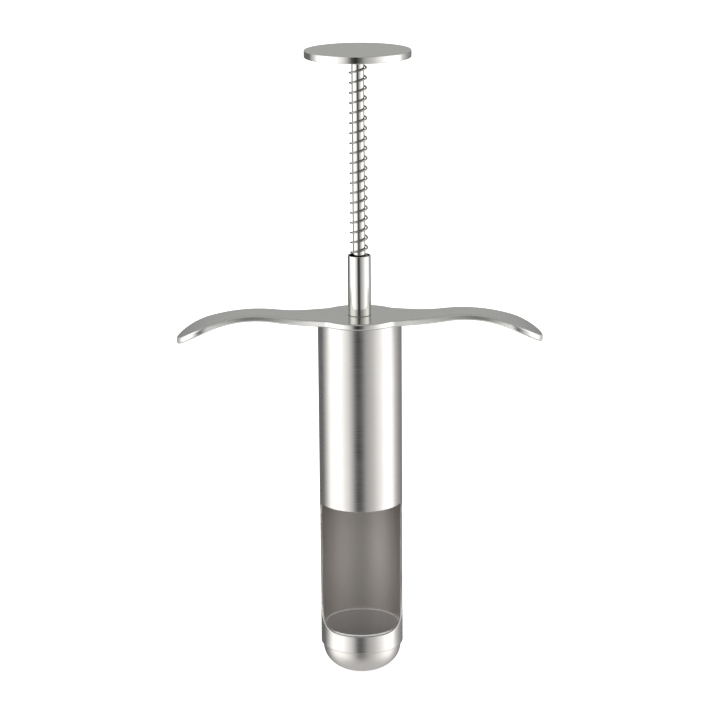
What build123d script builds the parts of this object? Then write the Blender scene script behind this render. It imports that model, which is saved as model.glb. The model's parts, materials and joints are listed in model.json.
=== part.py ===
from build123d import *
import math
import os

# A hand-held meat stuffing injector in stainless steel.
# Millimetres. +Z runs up the tool's axis, the loading window faces -Y and the
# finger wings lie along X. The origin is the lowest point of the rounded nose.

# Barrel: a plain tube with a window milled through its front
barrel_radius = 20.0
barrel_wall = 1.0
barrel_bottom = 14.3
barrel_edge_round = 0.6
window_bottom = 23.2
window_top = 86.7
window_depth_y = -1.0  # everything in front of this plane is cut away
window_heel_radius = 16.5  # sweep from the cut's back plane down to its floor
window_head_radius = 7.0
window_edge_round = 0.35

# Nose: a drawn cup that fits inside the barrel's lower end
nose_wall = 1.2
nose_rim = 23.5
dome_height = 13.8
dome_fullness = 2.2  # 2 would be an ellipse, more is squarer
dome_points = 7

# Handle plate: a flat hub with two wings bent up a little and then down
plate_thickness = 3.0
plate_top = 179.2
hub_radius = 20.6
flat_half_length = 24.0
toe_bend_radius = 133.0
wing_bend_radius = 67.0
toe_bend_angle = 7.2
wing_bend_angle = 42.0
neck_x = 52.5
neck_half_width = 8.0
neck_to_hub_radius = 118.0
neck_to_hub_angle = 22.0  # enough for the arc to start inside the hub
neck_to_paddle_radius = 64.0
paddle_radius = 11.6
hub_blend_radius = 7.0
blank_reach = 40.0  # more than the wings rise or fall
plate_top_round = 0.9
plate_bottom_round = 0.8

# Guide sleeve on the plate, and what closes the barrel's top under it
sleeve_radius = 5.5
sleeve_wall = 0.5
sleeve_top = 208.1
sleeve_seat = 174.0
sleeve_rim_round = 0.2
collar_bottom = 166.0
collar_chamfer = 0.5
bush_radius = 4.5
bush_flange_radius = 4.9
bush_flange_thickness = 1.2
seat_washer_thickness = 0.8

# Plunger: palm disc, rod and the piston stack on the rod's threaded end
rod_radius = 3.0
disc_radius = 25.0
disc_bottom = 301.7
disc_thickness = 3.4
disc_edge_round = 0.35
spigot_radius = 2.5
spigot_depth = 2.2
piston_thickness = 12.0
piston_chamfer = 0.8
backing_radius = 17.0
face_plate_radius = 16.0
stack_plate_thickness = 1.5
bumper_radius = 7.0
bumper_thickness = 2.0
lock_washer_radius = 5.0
lock_washer_thickness = 1.0
lock_washer_gap = 0.8
nut_across_flats = 8.0
nut_hex_height = 4.0
nut_dome_radius = 3.75
stud_reach_in_nut = 4.5
stud_end_gap = 0.3

# Return spring
wire_radius = 0.45
spring_radius = 3.9  # to the middle of the wire
spring_pitch = 4.725
spring_start_angle = -162.8  # bearing of the wire's lower end, from +X
spring_washer_thickness = 0.6

# Clearances on radius
running_clearance = 0.05
seated_clearance = 0.02
piston_clearance = 0.3
washer_clearance = 0.2

# Heights that follow from the above
plate_bottom = plate_top - plate_thickness
barrel_bore = barrel_radius - barrel_wall
piston_radius = barrel_bore - piston_clearance
bush_top = sleeve_seat + bush_flange_thickness
spring_foot = bush_top + seat_washer_thickness
spring_head = disc_bottom - spring_washer_thickness
rod_shoulder = collar_bottom - bumper_thickness
backing_bottom = rod_shoulder - stack_plate_thickness
piston_bottom = backing_bottom - piston_thickness
face_bottom = piston_bottom - stack_plate_thickness
lock_bottom = face_bottom - lock_washer_thickness
nut_bottom = lock_bottom - nut_hex_height


def rod_between(radius, low, high):
    """A plain cylinder on the tool's axis."""
    disc = Plane.XY.offset(low) * Circle(radius)
    return extrude(disc, high - low)


def ring_between(outer, inner, low, high):
    """A plain ring or tube on the tool's axis."""
    return rod_between(outer, low, high) - rod_between(inner, low, high)


def edges_at(shape, height):
    """The edges of a shape that lie flat at one height."""
    return shape.edges().filter_by_position(Axis.Z, height - 0.01, height + 0.01)


def window_cutter():
    """The side view of the window, swept right across the tube."""
    front = -2 * barrel_radius
    heel = (window_depth_y - window_heel_radius, window_bottom)
    heel_end = (window_depth_y, window_bottom + window_heel_radius)
    with BuildSketch(Plane.YZ) as side:
        with BuildLine():
            Line((front, window_bottom), heel)
            RadiusArc(heel, heel_end, -window_heel_radius)
            Line(heel_end, (window_depth_y, window_top))
            Line((window_depth_y, window_top), (front, window_top))
            Line((front, window_top), (front, window_bottom))
        make_face()
        head = side.vertices().sort_by_distance((window_depth_y, window_top, 0))[0]
        fillet(head, window_head_radius)
    return extrude(side.sketch, 2 * barrel_radius, both=True)


def stands_round_axis(face):
    """True for the tube's own outer and inner wall."""
    return face.geom_type == GeomType.CYLINDER and abs(face.axis_of_rotation.direction.Z) > 0.9


def make_barrel():
    tube = ring_between(barrel_radius, barrel_bore, barrel_bottom, plate_bottom)
    tube = fillet(edges_at(tube, barrel_bottom).sort_by(SortBy.LENGTH)[-1], barrel_edge_round)
    tube -= window_cutter()
    walls = tube.faces().filter_by(stands_round_axis)
    cut_faces = (tube.faces() - walls).filter_by(
        lambda face: window_bottom - 1 < face.center().Z < window_top + 1
    )
    return fillet(walls.edges() & cut_faces.edges(), window_edge_round)


def dome_profile(radius, bottom):
    """Quarter of a squared-off ellipse, from the cup's wall in to its lowest point."""
    depth = dome_height - bottom
    points = []
    for step in range(dome_points):
        angle = math.radians(90) * step / (dome_points - 1)
        across = radius * max(math.cos(angle), 0) ** (2 / dome_fullness)
        down = depth * math.sin(angle) ** (2 / dome_fullness)
        points.append((across, dome_height - down))
    points[-1] = (0, bottom)
    return Spline(*points, tangents=[(0, -1), (-1, 0)])


def make_nose_cap():
    seat_radius = barrel_bore - seated_clearance
    bore_radius = seat_radius - nose_wall
    with BuildSketch(Plane.XZ) as half:
        with BuildLine():
            dome_profile(seat_radius, 0)
            dome_profile(bore_radius, nose_wall)
            Line((0, 0), (0, nose_wall))
            Polyline(
                (seat_radius, dome_height),
                (seat_radius, nose_rim),
                (bore_radius, nose_rim),
                (bore_radius, dome_height),
            )
        make_face()
    return revolve(half.sketch, Axis.Z)


def wing_edge(offset):
    """One side of the bent plate: flat hub, slight rise, long fall to the tip."""
    level = plate_top - offset
    toe_centre = (flat_half_length, plate_top + toe_bend_radius)
    reach = toe_bend_radius + wing_bend_radius
    toe_angle = math.radians(toe_bend_angle)
    wing_centre = (
        toe_centre[0] + reach * math.sin(toe_angle),
        toe_centre[1] - reach * math.cos(toe_angle),
    )
    hub = Line((0, level), (flat_half_length, level))
    toe = CenterArc(toe_centre, toe_bend_radius + offset, -90, toe_bend_angle)
    fall = toe_bend_angle + wing_bend_angle
    wing = CenterArc(wing_centre, wing_bend_radius - offset, 90 + toe_bend_angle, -fall)
    return hub, toe, wing


def bent_strip():
    """The plate's side view, swept wider than the hub."""
    with BuildSketch(Plane.XZ) as side:
        with BuildLine():
            upper = wing_edge(0)
            lower = wing_edge(plate_thickness)
            Line(upper[2] @ 1, lower[2] @ 1)
            Line((0, plate_top), (0, plate_bottom))
        make_face()
        mirror(about=Plane.YZ)
    return extrude(side.sketch, hub_radius + 1, both=True)


def plan_outline():
    """The plate seen from above: round hub, narrow necks, round paddles."""
    paddle_reach = neck_to_paddle_radius + paddle_radius
    paddle_rise = neck_half_width + neck_to_paddle_radius
    paddle_angle = math.degrees(math.acos(paddle_rise / paddle_reach))
    paddle_x = neck_x + paddle_reach * math.sin(math.radians(paddle_angle))
    with BuildSketch() as outline:
        Circle(hub_radius)
        with BuildLine():
            hub_centre_y = neck_half_width + neck_to_hub_radius
            arc = CenterArc(
                (neck_x, hub_centre_y), neck_to_hub_radius, -90 - neck_to_hub_angle, neck_to_hub_angle
            )
            CenterArc((neck_x, paddle_rise), neck_to_paddle_radius, -90, paddle_angle)
            CenterArc((paddle_x, 0), paddle_radius, 0, 90 + paddle_angle)
            Line((paddle_x + paddle_radius, 0), (0, 0))
            Line((0, 0), (0, (arc @ 0).Y))
            Line((0, (arc @ 0).Y), arc @ 0)
        make_face()
        mirror(about=Plane.XZ)
        mirror(about=Plane.YZ)
        on_hub = [v for v in outline.vertices() if abs(math.hypot(v.X, v.Y) - hub_radius) < 0.01]
        fillet(on_hub, hub_blend_radius)
    return outline.sketch


def rim_edges(plate, side):
    """Edges where the plate's upper (side 1) or lower (side -1) skin meets its rim."""
    rim_faces = plate.faces().filter_by(lambda face: abs(face.normal_at().Z) < 0.1)
    skin_faces = plate.faces().filter_by(lambda face: side * face.normal_at().Z > 0.1)
    return skin_faces.edges() & rim_faces.edges()


def make_wing_handle():
    plate = bent_strip() & extrude(Plane.XY.offset(plate_top) * plan_outline(), blank_reach, both=True)
    plate = fillet(rim_edges(plate, 1), plate_top_round)
    plate = fillet(rim_edges(plate, -1), plate_bottom_round)
    return plate - rod_between(sleeve_radius + seated_clearance, plate_bottom - 1, plate_top + 1)


def make_guide_sleeve():
    tube = ring_between(sleeve_radius, sleeve_radius - sleeve_wall, sleeve_seat, sleeve_top)
    return fillet(edges_at(tube, sleeve_top), sleeve_rim_round)


def make_barrel_collar():
    """Plug that closes the barrel's top, bored for the rod's bush and the sleeve."""
    plug = rod_between(barrel_bore - seated_clearance, collar_bottom, plate_bottom)
    plug = chamfer(edges_at(plug, collar_bottom), collar_chamfer)
    plug -= rod_between(bush_radius + seated_clearance, collar_bottom - 1, plate_bottom)
    return plug - rod_between(sleeve_radius + seated_clearance, sleeve_seat, plate_bottom + 1)


def make_rod_bush():
    """Flanged bush: the flange carries the spring inside the sleeve."""
    body = rod_between(bush_radius, collar_bottom, sleeve_seat)
    flange = rod_between(bush_flange_radius, sleeve_seat, bush_top)
    bore = rod_between(rod_radius + running_clearance, collar_bottom - 1, bush_top + 1)
    return body + flange - bore


def make_spring_seat_washer():
    return ring_between(bush_flange_radius, rod_radius + washer_clearance, bush_top, spring_foot)


def make_return_spring():
    """Round wire wound right-handed from the seat up to the top washer."""
    height = spring_head - spring_foot - 2 * wire_radius
    path = Helix(spring_pitch, height, spring_radius, center=(0, 0, spring_foot + wire_radius))
    section = Plane(origin=path @ 0, z_dir=path % 0) * Circle(wire_radius)
    return Rot(0, 0, spring_start_angle) * sweep(section, path, is_frenet=True)


def make_spring_top_washer():
    return ring_between(spring_radius + wire_radius, rod_radius + washer_clearance, spring_head, disc_bottom)


def make_palm_disc():
    disc = rod_between(disc_radius, disc_bottom, disc_bottom + disc_thickness)
    disc = fillet(disc.edges(), disc_edge_round)
    return disc - rod_between(spigot_radius + seated_clearance, disc_bottom - 1, disc_bottom + spigot_depth)


def make_plunger_rod():
    """Rod with a spigot up into the disc and a stud down through the piston."""
    rod = rod_between(rod_radius, rod_shoulder, disc_bottom)
    rod += rod_between(spigot_radius, disc_bottom, disc_bottom + spigot_depth)
    return rod + rod_between(spigot_radius, lock_bottom - stud_reach_in_nut, rod_shoulder)


def make_bumper_washer():
    """Soft washer that meets the collar when the spring lifts the piston."""
    return ring_between(bumper_radius, rod_radius + seated_clearance, rod_shoulder, collar_bottom)


def stack_ring(radius, low, high):
    """A flat piece of the piston stack, bored for the rod's stud."""
    return ring_between(radius, spigot_radius + seated_clearance, low, high)


def make_piston():
    piston = stack_ring(piston_radius, piston_bottom, backing_bottom)
    rims = [edges_at(piston, level).sort_by(SortBy.LENGTH)[-1] for level in (piston_bottom, backing_bottom)]
    return chamfer(rims, piston_chamfer)


def make_lock_washer():
    """Split spring washer."""
    ring = stack_ring(lock_washer_radius, lock_bottom, face_bottom)
    gap = Pos(0, -lock_washer_radius, lock_bottom) * Box(
        lock_washer_gap, 2 * lock_washer_radius, 4 * lock_washer_thickness
    )
    return ring - gap


def make_piston_nut():
    """Dome nut, blind so that no thread meets the filling."""
    hexagon = Plane.XY.offset(nut_bottom) * RegularPolygon(nut_across_flats / 2, 6, major_radius=False)
    body = extrude(hexagon, nut_hex_height)
    dome = Pos(0, 0, nut_bottom) * Sphere(nut_dome_radius)
    stud_end = lock_bottom - stud_reach_in_nut - stud_end_gap
    stud_hole = rod_between(spigot_radius + seated_clearance, stud_end, lock_bottom)
    return body + dome - stud_hole


pieces = {
    "wing_handle": make_wing_handle,
    "barrel": make_barrel,
    "nose_cap": make_nose_cap,
    "barrel_collar": make_barrel_collar,
    "guide_sleeve": make_guide_sleeve,
    "rod_bush": make_rod_bush,
    "spring_seat_washer": make_spring_seat_washer,
    "return_spring": make_return_spring,
    "spring_top_washer": make_spring_top_washer,
    "palm_disc": make_palm_disc,
    "plunger_rod": make_plunger_rod,
    "bumper_washer": make_bumper_washer,
    "piston_backing_plate": lambda: stack_ring(backing_radius, backing_bottom, rod_shoulder),
    "piston": make_piston,
    "piston_face_plate": lambda: stack_ring(face_plate_radius, face_bottom, piston_bottom),
    "lock_washer": make_lock_washer,
    "piston_nut": make_piston_nut,
}

os.makedirs("parts", exist_ok=True)
for name, make_piece in pieces.items():
    export_step(make_piece(), f"parts/{name}.step")
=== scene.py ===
import json
import math

import bmesh
import bpy
from mathutils import Matrix, Quaternion, Vector


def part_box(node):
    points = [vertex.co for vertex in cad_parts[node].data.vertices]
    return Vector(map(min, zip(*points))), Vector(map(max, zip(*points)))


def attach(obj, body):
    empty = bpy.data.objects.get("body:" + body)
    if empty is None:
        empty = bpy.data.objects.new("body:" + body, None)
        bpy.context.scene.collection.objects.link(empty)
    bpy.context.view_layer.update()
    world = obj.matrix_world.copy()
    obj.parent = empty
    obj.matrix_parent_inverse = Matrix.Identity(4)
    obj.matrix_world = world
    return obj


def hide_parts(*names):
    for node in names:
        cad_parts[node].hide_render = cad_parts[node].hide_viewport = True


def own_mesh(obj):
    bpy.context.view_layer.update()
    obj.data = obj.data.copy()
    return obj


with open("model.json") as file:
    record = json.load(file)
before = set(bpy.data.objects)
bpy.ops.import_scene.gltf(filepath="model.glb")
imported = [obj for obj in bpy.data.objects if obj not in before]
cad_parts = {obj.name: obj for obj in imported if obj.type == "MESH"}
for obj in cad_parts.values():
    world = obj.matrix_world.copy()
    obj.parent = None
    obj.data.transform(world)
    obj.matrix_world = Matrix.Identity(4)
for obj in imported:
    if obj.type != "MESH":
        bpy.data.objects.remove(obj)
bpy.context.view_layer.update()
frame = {"nodes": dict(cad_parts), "record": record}
nodes = frame["nodes"]
mm = 0.001
print("frame loaded:", len(nodes), "CAD nodes")


def srgb(hexCode):
    # "c8c6c3" as a linear colour with alpha
    channels = [int(hexCode[i:i + 2], 16) / 255 for i in (0, 2, 4)]
    linear = [c / 12.92 if c <= 0.04045 else ((c + 0.055) / 1.055) ** 2.4 for c in channels]
    return (*linear, 1.0)


def addNode(tree, kind, inputs=None, out=0, **settings):
    # inputs: socket name or number -> a value, or an output socket to link from; gives back one output
    node = tree.nodes.new(kind)
    for name, value in settings.items():
        setattr(node, name, value)
    for key, value in (inputs or {}).items():
        socket = node.inputs[key]
        if isinstance(value, bpy.types.NodeSocket):
            tree.links.new(value, socket)
        else:
            socket.default_value = value
    return node.outputs[out] if node.outputs else None


def newMaterial(name):
    material = bpy.data.materials.new(name)
    material.use_nodes = True
    material.node_tree.nodes.clear()
    return material, material.node_tree


patternRoughness = 0.6    # how ragged the fine detail of every pattern is


def surfacePattern(tree, place, scale, detail=3.0):
    stretched = addNode(tree, "ShaderNodeMapping", {"Vector": place, "Scale": scale})
    inputs = {"Vector": stretched, "Scale": 1.0, "Detail": detail, "Roughness": patternRoughness}
    return addNode(tree, "ShaderNodeTexNoise", inputs, out="Fac")


# steel finishes: colour, roughness and its spread over the brush lines, how far the brush draws a light out
# lineGap is three to eight times the real spacing of brush lines, about 0.1 mm, or they wouldn't show
steelLooks = {
    "barrel": dict(colour="cbc9c6", dark="c2bfbc", roughness=0.29, spread=0.04, smudge=0.04, aniso=0.75,
                   turn=0.25, tangentAxis="Z", grain="round", lineGap=0.45 * mm),
    "nose": dict(colour="cfccc9", dark="c4c1bd", roughness=0.36, spread=0.08, smudge=0.04, aniso=0.5,
                 turn=0.25, tangentAxis="Z", grain="round", lineGap=0.5 * mm),
    "plate": dict(colour="cacac6", dark="b6b6b1", roughness=0.20, spread=0.05, smudge=0.03, aniso=0.6,
                  turn=0.0, tangentAxis="X", grain="long", lineGap=0.35 * mm),
    "disc": dict(colour="cfcfcb", dark="c2c2bc", roughness=0.30, spread=0.08, smudge=0.04, aniso=0.5,
                 turn=0.0, tangentAxis="X", grain="long", lineGap=0.4 * mm),
    "polished": dict(colour="cccbc8", dark="c6c5c1", roughness=0.06, spread=0.03, smudge=0.03, aniso=0.0,
                     turn=0.0, tangentAxis="Z", grain="round", lineGap=0.6 * mm),
    "wire": dict(colour="a3a19d", dark="868480", roughness=0.20, spread=0.05, smudge=0.03, aniso=0.0,
                 turn=0.0, tangentAxis="Z", grain="round", lineGap=0.8 * mm),
    "turned": dict(colour="b9b7b3", dark="a9a7a3", roughness=0.30, spread=0.08, smudge=0.04, aniso=0.5,
                   turn=0.25, tangentAxis="Z", grain="round", lineGap=0.3 * mm),
}
brushWork = dict(lineLength=60 * mm, smudgeSize=14 * mm, bumpStrength=0.15, bumpDepth=0.02 * mm,
                 lineLimits=(0.3, 0.7), smudgeLimits=(0.35, 0.65))

# where part of a piece is left in another finish than the rest of it
# the first three are painted lighter than dull steel really is: the first two as painted light, or this room
# leaves the hollows too dark, and the third as a painted highlight on the cup's cut rim
insideDullWithPaintedLight = dict(colour="dbd7d3", roughness=0.82)    # tube wall the belt didn't reach, dull, its colour painted lighter as painted light
bowlDrawnWithPaintedLight = dict(colour="dcdad9", roughness=0.85)      # drawn hollow of the nose, its colour painted lighter as painted light
cutRimPaintedHighlight = dict(colour="ffffff", roughness=0.75)    # turned top of the nose cup, painted white as a painted highlight
sleeveFootDarkRing = dict(colour="8a867f", roughness=0.55)      # darker ring round the sleeve's foot, where it meets the plate
rimFinish = dict(colour="cfcecb", roughness=0.10)       # polished rim of the hub and the disc
wingRimFinish = dict(colour="dfdedb", roughness=0.35)   # the same rim along the wings, satin
# where each starts and where it is full, first by the way the surface faces, then by distance
facing = dict(outward=-0.1, insideTube=-0.5, insideCup=-0.3, flatFace=0.75, uprightRim=0.5)
edges = dict(cupMiddle=24 * mm, cupRim=(0.3 * mm, 0.1 * mm), plateThickness=3 * mm,
             seam=(0.4 * mm, 0.15 * mm), wing=(18 * mm, 24 * mm))


def inwardShare(tree, coords, fromMiddle, fullAt):
    # 0 where the surface faces out, 1 where it faces back at the middle of the piece
    outward = addNode(tree, "ShaderNodeVectorMath", {0: fromMiddle}, operation="NORMALIZE")
    turnedOut = addNode(
        tree, "ShaderNodeVectorMath", {0: coords["Normal"], 1: outward}, out="Value", operation="DOT_PRODUCT"
    )
    limits = {"Value": turnedOut, "From Min": facing["outward"], "From Max": fullAt}
    return addNode(tree, "ShaderNodeMapRange", limits, interpolation_type="SMOOTHSTEP")


# the tube's inner wall: dull finish, its colour painted lighter as painted light
def insideTube(tree, coords):
    inputs = {0: coords["Object"], 1: (1, 1, 0)}
    fromAxis = addNode(tree, "ShaderNodeVectorMath", inputs, operation="MULTIPLY")
    return inwardShare(tree, coords, fromAxis, facing["insideTube"])


# the cup's hollow, its colour painted lighter as painted light
def insideCup(tree, coords):
    inputs = {0: coords["Object"], 1: (0, 0, edges["cupMiddle"])}
    fromMiddle = addNode(tree, "ShaderNodeVectorMath", inputs, operation="SUBTRACT")
    return inwardShare(tree, coords, fromMiddle, facing["insideCup"])


# the band along the top of the cup that is painted white as a painted highlight
def cupRim(tree, coords):
    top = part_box("nose_cap")[1][2]
    height = addNode(tree, "ShaderNodeSeparateXYZ", {0: coords["Object"]}, out="Z")
    limits = {"Value": height, "From Min": top - edges["cupRim"][0], "From Max": top - edges["cupRim"][1]}
    return addNode(tree, "ShaderNodeMapRange", limits, interpolation_type="SMOOTHSTEP")


# the darker ring at the sleeve's foot, just above the plate's top
def sleeveFoot(tree, coords):
    grip = next(mount for mount in frame["record"]["mounts"] if mount["name"] == "finger_grip")
    plateTop = grip["pos_m"][2] + edges["plateThickness"]
    height = addNode(tree, "ShaderNodeSeparateXYZ", {0: coords["Object"]}, out="Z")
    above = addNode(tree, "ShaderNodeMath", {0: height, 1: plateTop}, operation="SUBTRACT")
    limits = {"Value": above, "From Min": edges["seam"][0], "From Max": edges["seam"][1]}
    return addNode(tree, "ShaderNodeMapRange", limits, interpolation_type="SMOOTHSTEP")


def uprightRim(tree, coords):
    # 1 on the upright rim of a plate, 0 on its faces
    tilt = addNode(tree, "ShaderNodeSeparateXYZ", {0: coords["Normal"]}, out="Z")
    tilt = addNode(tree, "ShaderNodeMath", {0: tilt}, operation="ABSOLUTE")
    limits = {"Value": tilt, "From Min": facing["flatFace"], "From Max": facing["uprightRim"]}
    return addNode(tree, "ShaderNodeMapRange", limits, interpolation_type="SMOOTHSTEP")


def wingRim(tree, coords):
    reach = addNode(tree, "ShaderNodeSeparateXYZ", {0: coords["Object"]}, out="X")
    reach = addNode(tree, "ShaderNodeMath", {0: reach}, operation="ABSOLUTE")
    limits = {"Value": reach, "From Min": edges["wing"][0], "From Max": edges["wing"][1]}
    onWing = addNode(tree, "ShaderNodeMapRange", limits, interpolation_type="SMOOTHSTEP")
    return addNode(tree, "ShaderNodeMath", {0: onWing, 1: uprightRim(tree, coords)}, operation="MULTIPLY")


def steel(name, look, zones=()):
    # zones: (where, finish) pairs laid over the main finish
    material, tree = newMaterial(name)
    coords = addNode(tree, "ShaderNodeTexCoord").node.outputs
    across, slow = 1 / look["lineGap"], 1 / brushWork["lineLength"]
    grain = (slow, slow, across) if look["grain"] == "round" else (slow, across, across)
    lines = surfacePattern(tree, coords["Object"], grain)
    smudges = surfacePattern(tree, coords["Object"], (1 / brushWork["smudgeSize"],) * 3, detail=2.0)
    colour = addNode(
        tree, "ShaderNodeMix", {"Factor": lines, 6: srgb(look["dark"]), 7: srgb(look["colour"])}, out=2,
        data_type="RGBA",
    )
    worn = addNode(
        tree, "ShaderNodeMapRange",
        {"Value": smudges, "From Min": brushWork["smudgeLimits"][0], "From Max": brushWork["smudgeLimits"][1],
         "To Min": -look["smudge"] / 2, "To Max": look["smudge"] / 2},
        interpolation_type="SMOOTHSTEP",
    )
    brushed = addNode(
        tree, "ShaderNodeMapRange",
        {"Value": lines, "From Min": brushWork["lineLimits"][0], "From Max": brushWork["lineLimits"][1],
         "To Min": look["roughness"] - look["spread"] / 2, "To Max": look["roughness"] + look["spread"] / 2},
        interpolation_type="SMOOTHSTEP",
    )
    rough = addNode(tree, "ShaderNodeMath", {0: brushed, 1: worn}, operation="ADD")
    for where, finish in zones:
        share = where(tree, coords)
        colour = addNode(
            tree, "ShaderNodeMix", {"Factor": share, 6: colour, 7: srgb(finish["colour"])}, out=2,
            data_type="RGBA",
        )
        rough = addNode(
            tree, "ShaderNodeMix", {"Factor": share, "A": rough, "B": finish["roughness"]}, data_type="FLOAT"
        )
    bump = addNode(
        tree, "ShaderNodeBump",
        {"Strength": brushWork["bumpStrength"], "Distance": brushWork["bumpDepth"], "Height": lines},
    )
    inputs = {
        "Base Color": colour, "Metallic": 1.0, "Roughness": rough, "Normal": bump,
        "Anisotropic": look["aniso"], "Anisotropic Rotation": look["turn"],
    }
    if look["aniso"] > 0:
        inputs["Tangent"] = addNode(
            tree, "ShaderNodeTangent", direction_type="RADIAL", axis=look["tangentAxis"]
        )
    shader = addNode(tree, "ShaderNodeBsdfPrincipled", inputs)
    addNode(tree, "ShaderNodeOutputMaterial", {"Surface": shader})
    return material


# plastic: two near whites, how waxy it is, tool rings also drawn coarser than real
plasticLooks = {
    "acetal": dict(light="dddbd5", dark="cfccc4", roughness=0.38, ior=1.48, waxy=0.15,
                   lineGap=0.35 * mm, depth=0.03 * mm),
    "silicone": dict(light="c6cacb", dark="b9bdbe", roughness=0.55, ior=1.41, waxy=0.3,
                     lineGap=1.5 * mm, depth=0.01 * mm),
}
plasticWork = dict(lineLength=30 * mm, lineLimits=(0.3, 0.7), spread=0.05, bumpStrength=0.3,
                   lightReach=1.5 * mm)


def plastic(name, look):
    material, tree = newMaterial(name)
    place = addNode(tree, "ShaderNodeTexCoord", out="Object")
    slow = 1 / plasticWork["lineLength"]
    lines = surfacePattern(tree, place, (slow, slow, 1 / look["lineGap"]))
    colour = addNode(
        tree, "ShaderNodeMix", {"Factor": lines, 6: srgb(look["dark"]), 7: srgb(look["light"])}, out=2,
        data_type="RGBA",
    )
    rough = addNode(
        tree, "ShaderNodeMapRange",
        {"Value": lines, "From Min": plasticWork["lineLimits"][0], "From Max": plasticWork["lineLimits"][1],
         "To Min": look["roughness"] - plasticWork["spread"],
         "To Max": look["roughness"] + plasticWork["spread"]},
        interpolation_type="SMOOTHSTEP",
    )
    bump = addNode(
        tree, "ShaderNodeBump",
        {"Strength": plasticWork["bumpStrength"], "Distance": look["depth"], "Height": lines},
    )
    shader = addNode(
        tree, "ShaderNodeBsdfPrincipled",
        {"Base Color": colour, "Roughness": rough, "Normal": bump, "IOR": look["ior"],
         "Subsurface Weight": look["waxy"], "Subsurface Scale": plasticWork["lightReach"]},
    )
    addNode(tree, "ShaderNodeOutputMaterial", {"Surface": shader})
    return material


# satin tube: soft white sidelights drawn into upright bands, dull inside where the belt didn't reach, its grey
# painted lighter as painted light
barrelSteel = steel(
    "stainless steel tube, satin brushed round", steelLooks["barrel"], [(insideTube, insideDullWithPaintedLight)]
)
# drawn cup: the same satin a little duller, a plain drawn inside painted lighter as painted light, and a cut
# rim painted white as a painted highlight
noseSteel = steel(
    "stainless steel cup, drawn and satin brushed", steelLooks["nose"],
    [(insideCup, bowlDrawnWithPaintedLight), (cupRim, cutRimPaintedHighlight)],
)
# sheet brushed lengthways: even grey faces that still mirror the sleeve, polished rim on the hub
plateSteel = steel(
    "stainless steel plate, brushed lengthways", steelLooks["plate"],
    [(uprightRim, rimFinish), (wingRim, wingRimFinish)],
)
# palm disc: the same sheet, a polished rim that catches the lights
discSteel = steel(
    "stainless steel disc, brushed face, turned rim", steelLooks["disc"], [(uprightRim, rimFinish)]
)
# mirror polish: hard white lights beside a black centre line
polishedSteel = steel("stainless steel, mirror polished", steelLooks["polished"])
# the same on the sleeve, with a darker, duller ring at its foot where it meets the plate
sleeveSteel = steel(
    "stainless steel tube, mirror polished", steelLooks["polished"], [(sleeveFoot, sleeveFootDarkRing)]
)
# drawn wire: small sharp glints on every coil
wireSteel = steel("stainless spring wire, drawn", steelLooks["wire"])
# hidden turned pieces: fine rings, medium gloss
turnedSteel = steel("stainless steel, turned", steelLooks["turned"])
# white turned plastic: soft sheen with faint tool rings, light bleeding in at the edges
acetal = plastic("white acetal, turned", plasticLooks["acetal"])
# pale moulded rubber: nearly no highlight
silicone = plastic("clear grey silicone, moulded", plasticLooks["silicone"])
print("materials made:", len(bpy.data.materials))

finishes = {
    "wing_handle": plateSteel, "palm_disc": discSteel, "barrel": barrelSteel, "nose_cap": noseSteel,
    "guide_sleeve": sleeveSteel, "plunger_rod": polishedSteel, "piston_nut": polishedSteel,
    "barrel_collar": turnedSteel, "spring_seat_washer": turnedSteel, "spring_top_washer": turnedSteel,
    "piston_backing_plate": turnedSteel, "piston_face_plate": turnedSteel, "lock_washer": turnedSteel,
    "return_spring": wireSteel, "rod_bush": acetal, "piston": acetal, "bumper_washer": silicone,
}
for nodeName, finish in finishes.items():
    nodes[nodeName].data.materials.clear()
    nodes[nodeName].data.materials.append(finish)


# return spring: one round wire wound right-handed, its end turns closed
springSizes = dict(wireRadius=0.45 * mm, coilRadius=3.9 * mm, activePitch=4.725 * mm, closedTurns=1.0,
                   startAngle=-101.6, pointsPerTurn=40, sidesOfWire=12)
springInputs = {
    "Wire Radius": "NodeSocketFloat", "Coil Radius": "NodeSocketFloat", "Height": "NodeSocketFloat",
    "Active Turns": "NodeSocketFloat", "Closed Turns": "NodeSocketFloat", "Start Angle": "NodeSocketFloat",
    "Points": "NodeSocketInt", "Sides": "NodeSocketInt", "Material": "NodeSocketMaterial",
}
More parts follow.
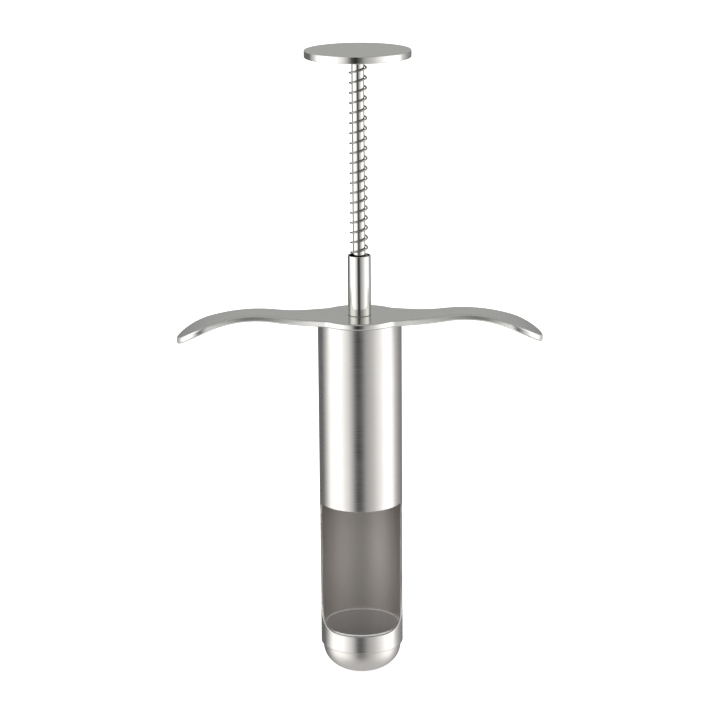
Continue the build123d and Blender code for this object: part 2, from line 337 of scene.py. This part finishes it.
# the helix worked out point by point: result, operation, what goes in
# each closed turn rises by one wire thickness and the active turns share out the rest
helixSteps = [
    ("bothEnds", "MULTIPLY", "Closed Turns", 2.0),
    ("allTurns", "ADD", "bothEnds", "Active Turns"),
    ("last", "SUBTRACT", "Points", 1.0),
    ("progress", "DIVIDE", "order", "last"),
    ("turn", "MULTIPLY", "progress", "allTurns"),
    ("wireAcross", "MULTIPLY", "Wire Radius", 2.0),
    ("wireStack", "MULTIPLY", "wireAcross", "bothEnds"),
    ("clearHeight", "SUBTRACT", "Height", "wireAcross"),
    ("activeRise", "SUBTRACT", "clearHeight", "wireStack"),
    ("turnsLow", "MINIMUM", "turn", "Closed Turns"),
    ("riseLow", "MULTIPLY", "turnsLow", "wireAcross"),
    ("turnsPast", "SUBTRACT", "turn", "Closed Turns"),
    ("shareOpen", "DIVIDE", "turnsPast", "Active Turns"),
    ("shareFrom0", "MAXIMUM", "shareOpen", 0.0),
    ("share", "MINIMUM", "shareFrom0", 1.0),
    ("turnsOver", "SUBTRACT", "turnsPast", "Active Turns"),
    ("turnsHigh", "MAXIMUM", "turnsOver", 0.0),
    ("riseHigh", "MULTIPLY", "turnsHigh", "wireAcross"),
    ("riseToHere", "MULTIPLY_ADD", "share", "activeRise", "riseLow"),
    ("riseOfEnds", "ADD", "riseHigh", "Wire Radius"),
    ("rise", "ADD", "riseToHere", "riseOfEnds"),
    ("angle", "MULTIPLY_ADD", "turn", 2 * math.pi, "Start Angle"),
    ("cosine", "COSINE", "angle"),
    ("sine", "SINE", "angle"),
    ("x", "MULTIPLY", "cosine", "Coil Radius"),
    ("y", "MULTIPLY", "sine", "Coil Radius"),
]


def springTree():
    tree = bpy.data.node_groups.new("wound spring", "GeometryNodeTree")
    identifiers = {
        name: tree.interface.new_socket(name, in_out="INPUT", socket_type=kind).identifier
        for name, kind in springInputs.items()
    }
    tree.interface.new_socket("Geometry", in_out="OUTPUT", socket_type="NodeSocketGeometry")
    given = addNode(tree, "NodeGroupInput").node.outputs
    known = {name: given[name] for name in springInputs}
    known["order"] = addNode(tree, "GeometryNodeInputIndex")
    for result, operation, *values in helixSteps:
        inputs = {place: known.get(value, value) for place, value in enumerate(values)}
        known[result] = addNode(tree, "ShaderNodeMath", inputs, operation=operation)
    line = addNode(tree, "GeometryNodeCurvePrimitiveLine", {"End": (0, 0, 1)})
    points = addNode(tree, "GeometryNodeResampleCurve", {"Curve": line, "Count": known["Points"]})
    spot = addNode(tree, "ShaderNodeCombineXYZ", {"X": known["x"], "Y": known["y"], "Z": known["rise"]})
    helix = addNode(tree, "GeometryNodeSetPosition", {"Geometry": points, "Position": spot})
    section = addNode(
        tree, "GeometryNodeCurvePrimitiveCircle",
        {"Resolution": known["Sides"], "Radius": known["Wire Radius"]},
    )
    swept = addNode(
        tree, "GeometryNodeCurveToMesh", {"Curve": helix, "Profile Curve": section, "Fill Caps": True}
    )
    smooth = addNode(tree, "GeometryNodeSetShadeSmooth", {"Geometry": swept})
    real = addNode(tree, "GeometryNodeRealizeInstances", {"Geometry": smooth})
    painted = addNode(tree, "GeometryNodeSetMaterial", {"Geometry": real, "Material": known["Material"]})
    addNode(tree, "NodeGroupOutput", {"Geometry": painted})
    return tree, identifiers


def makeSpring():
    low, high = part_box("return_spring")
    height = high[2] - low[2]
    wire, closed = springSizes["wireRadius"], springSizes["closedTurns"]
    active = (height - 2 * wire * (1 + 2 * closed)) / springSizes["activePitch"]
    tree, identifiers = springTree()
    holder = bpy.data.objects.new("spring holder", bpy.data.meshes.new("spring holder"))
    bpy.context.scene.collection.objects.link(holder)
    modifier = holder.modifiers.new("wound spring", "NODES")
    modifier.node_group = tree
    values = {
        "Wire Radius": wire, "Coil Radius": springSizes["coilRadius"], "Height": height,
        "Active Turns": active, "Closed Turns": closed,
        "Start Angle": math.radians(springSizes["startAngle"]),
        "Points": round((active + 2 * closed) * springSizes["pointsPerTurn"]),
        "Sides": springSizes["sidesOfWire"], "Material": wireSteel,
    }
    for name, value in values.items():
        modifier[identifiers[name]] = value
    mesh = bpy.data.meshes.new_from_object(holder.evaluated_get(bpy.context.evaluated_depsgraph_get()))
    bpy.data.objects.remove(holder)
    mesh.transform(Matrix.Translation((0, 0, low[2])))
    shell = bmesh.new()
    shell.from_mesh(mesh)
    bmesh.ops.recalc_face_normals(shell, faces=shell.faces)
    openEdges = sum(not edge.is_manifold for edge in shell.edges)
    shell.to_mesh(mesh)
    shell.free()
    spring = bpy.data.objects.new("coiled_return_spring", mesh)
    bpy.context.scene.collection.objects.link(spring)
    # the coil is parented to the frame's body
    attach(spring, "frame")
    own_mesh(spring)
    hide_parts("return_spring")
    print("spring:", round(active, 2), "active turns,", len(mesh.polygons), "faces,", openEdges, "open edges")


makeSpring()


# studio: white floor, soft light, camera

# the room round the tool: bearing (0 is the front, positive to the right), brightness of the wall there,
# and how high it reaches before the plain ceiling, as the sine of its elevation
roomWalls = [
    (-180, 0.22, 0.0), (-150, 0.19, 0.0), (-126, 0.20, 0.0), (-107, 0.95, 0.3), (-92, 2.0, 0.6),
    (-55, 2.1, 0.6), (-44, 1.6, 0.6), (-33, 1.25, 0.5), (-23, 0.75, 0.4), (-13, 0.12, 0.4),
    (-3.5, 0.03, 0.4), (6.4, 0.2, 0.4), (16, 0.6, 0.4), (26, 0.75, 0.4), (37, 0.95, 0.5),
    (47, 1.3, 0.6), (58, 1.6, 0.6), (70, 2.1, 0.6),
    (96, 2.1, 0.6), (112, 0.9, 0.3), (133, 0.42, 0.0), (156, 0.27, 0.0), (180, 0.22, 0.0),
]
studio = dict(
    ceiling=0.58, ground=0.8, levelScale=2.2, upperGain=0.95, backdrop=1.05,
    floorSize=12.0, floorColour="f4f4f4", floorRoughness=0.9, floorGlow=0.65,
    topLightPower=0.9, topLightSpread=70.0,
)
# how gently one part of the room gives way to the next, as the sine of the elevation
roomBlends = dict(upper=(-0.1, 0.1), overhead=(-0.05, 0.22), ground=(-0.42, -0.88))


def bearingRamp(tree, share, column, scale):
    # one column of the room's table as a grey ramp round the compass
    ramp = addNode(tree, "ShaderNodeValToRGB", {"Fac": share})
    stops = ramp.node.color_ramp.elements
    while len(stops) > 1:
        stops.remove(stops[-1])
    for number, row in enumerate(roomWalls):
        position = (row[0] + 180) / 360
        stop = stops[0] if number == 0 else stops.new(position)
        stop.position = position
        stop.color = (*(row[column] / scale,) * 3, 1)
    return addNode(tree, "ShaderNodeMath", {0: ramp, 1: scale}, operation="MULTIPLY")


def makeRoom():
    world = bpy.data.worlds.new("soft studio")
    bpy.context.scene.world = world
    world.use_nodes = True
    tree = world.node_tree
    tree.nodes.clear()
    direction = addNode(tree, "ShaderNodeTexCoord", out="Generated")
    parts = addNode(tree, "ShaderNodeSeparateXYZ", {0: direction}).node.outputs
    toFront = addNode(tree, "ShaderNodeMath", {0: parts["Y"], 1: -1.0}, operation="MULTIPLY")
    bearing = addNode(tree, "ShaderNodeMath", {0: parts["X"], 1: toFront}, operation="ARCTAN2")
    share = addNode(
        tree, "ShaderNodeMath", {0: bearing, 1: 0.5 / math.pi, 2: 0.5}, operation="MULTIPLY_ADD"
    )
    walls = bearingRamp(tree, share, 1, studio["levelScale"])
    wallTop = bearingRamp(tree, share, 2, 1.0)
    gain = addNode(
        tree, "ShaderNodeMapRange",
        {"Value": parts["Z"], "From Min": roomBlends["upper"][0], "From Max": roomBlends["upper"][1],
         "To Min": 1.0, "To Max": studio["upperGain"]},
        interpolation_type="SMOOTHSTEP",
    )
    walls = addNode(tree, "ShaderNodeMath", {0: walls, 1: gain}, operation="MULTIPLY")
    past = addNode(tree, "ShaderNodeMath", {0: parts["Z"], 1: wallTop}, operation="SUBTRACT")
    overhead, below = (
        addNode(
            tree, "ShaderNodeMapRange", {"Value": value, "From Min": start, "From Max": full},
            interpolation_type="SMOOTHSTEP",
        )
        for value, (start, full) in ((past, roomBlends["overhead"]), (parts["Z"], roomBlends["ground"]))
    )
    seen = addNode(tree, "ShaderNodeLightPath", out="Is Camera Ray")
    level = walls
    for factor, other in ((overhead, "ceiling"), (below, "ground"), (seen, "backdrop")):
        level = addNode(
            tree, "ShaderNodeMix", {"Factor": factor, "A": level, "B": studio[other]}, data_type="FLOAT"
        )
    background = addNode(tree, "ShaderNodeBackground", {"Color": srgb("ffffff"), "Strength": level})
    addNode(tree, "ShaderNodeOutputWorld", {"Surface": background})


def makeFloor():
    half = studio["floorSize"] / 2
    mesh = bpy.data.meshes.new("floor")
    corners = [(-half, -half, 0), (half, -half, 0), (half, half, 0), (-half, half, 0)]
    mesh.from_pydata(corners, [], [(0, 1, 2, 3)])
    floor = bpy.data.objects.new("floor", mesh)
    bpy.context.scene.collection.objects.link(floor)
    material, tree = newMaterial("backlit white studio sheet")
    shader = addNode(
        tree, "ShaderNodeBsdfPrincipled",
        {"Base Color": srgb(studio["floorColour"]), "Roughness": studio["floorRoughness"],
         "Specular IOR Level": 0.0, "Emission Color": srgb("ffffff"), "Emission Strength": studio["floorGlow"]},
    )
    addNode(tree, "ShaderNodeOutputMaterial", {"Surface": shader})
    mesh.materials.append(material)
    floor.visible_glossy = False  # the steel mirrors the soft room, not the sheet
    lamp = bpy.data.lights.new("top light", "SUN")
    lamp.energy = studio["topLightPower"]
    lamp.angle = math.radians(studio["topLightSpread"])
    topLight = bpy.data.objects.new("top light", lamp)
    topLight.visible_glossy = False
    bpy.context.scene.collection.objects.link(topLight)


# degrees of tilt and roll, metres behind and above the nose, millimetres of lens
cameraPlace = dict(pitch=14.97, back=1.123, height=0.457, lens=121.75, roll=0.45)


def makeCamera():
    data = bpy.data.cameras.new("camera")
    data.lens = cameraPlace["lens"]
    data.clip_end = 50
    camera = bpy.data.objects.new("camera", data)
    camera.location = (0, -cameraPlace["back"], cameraPlace["height"])
    pitch = math.radians(cameraPlace["pitch"])
    look = Vector((0, math.cos(pitch), -math.sin(pitch)))
    roll = Quaternion((0, 0, 1), math.radians(-cameraPlace["roll"]))
    camera.rotation_mode = "QUATERNION"
    camera.rotation_quaternion = look.to_track_quat("-Z", "Y") @ roll
    bpy.context.scene.collection.objects.link(camera)
    bpy.context.scene.camera = camera


makeRoom()
makeFloor()
makeCamera()
bpy.context.scene.view_settings.view_transform = "Standard"
print("studio ready")
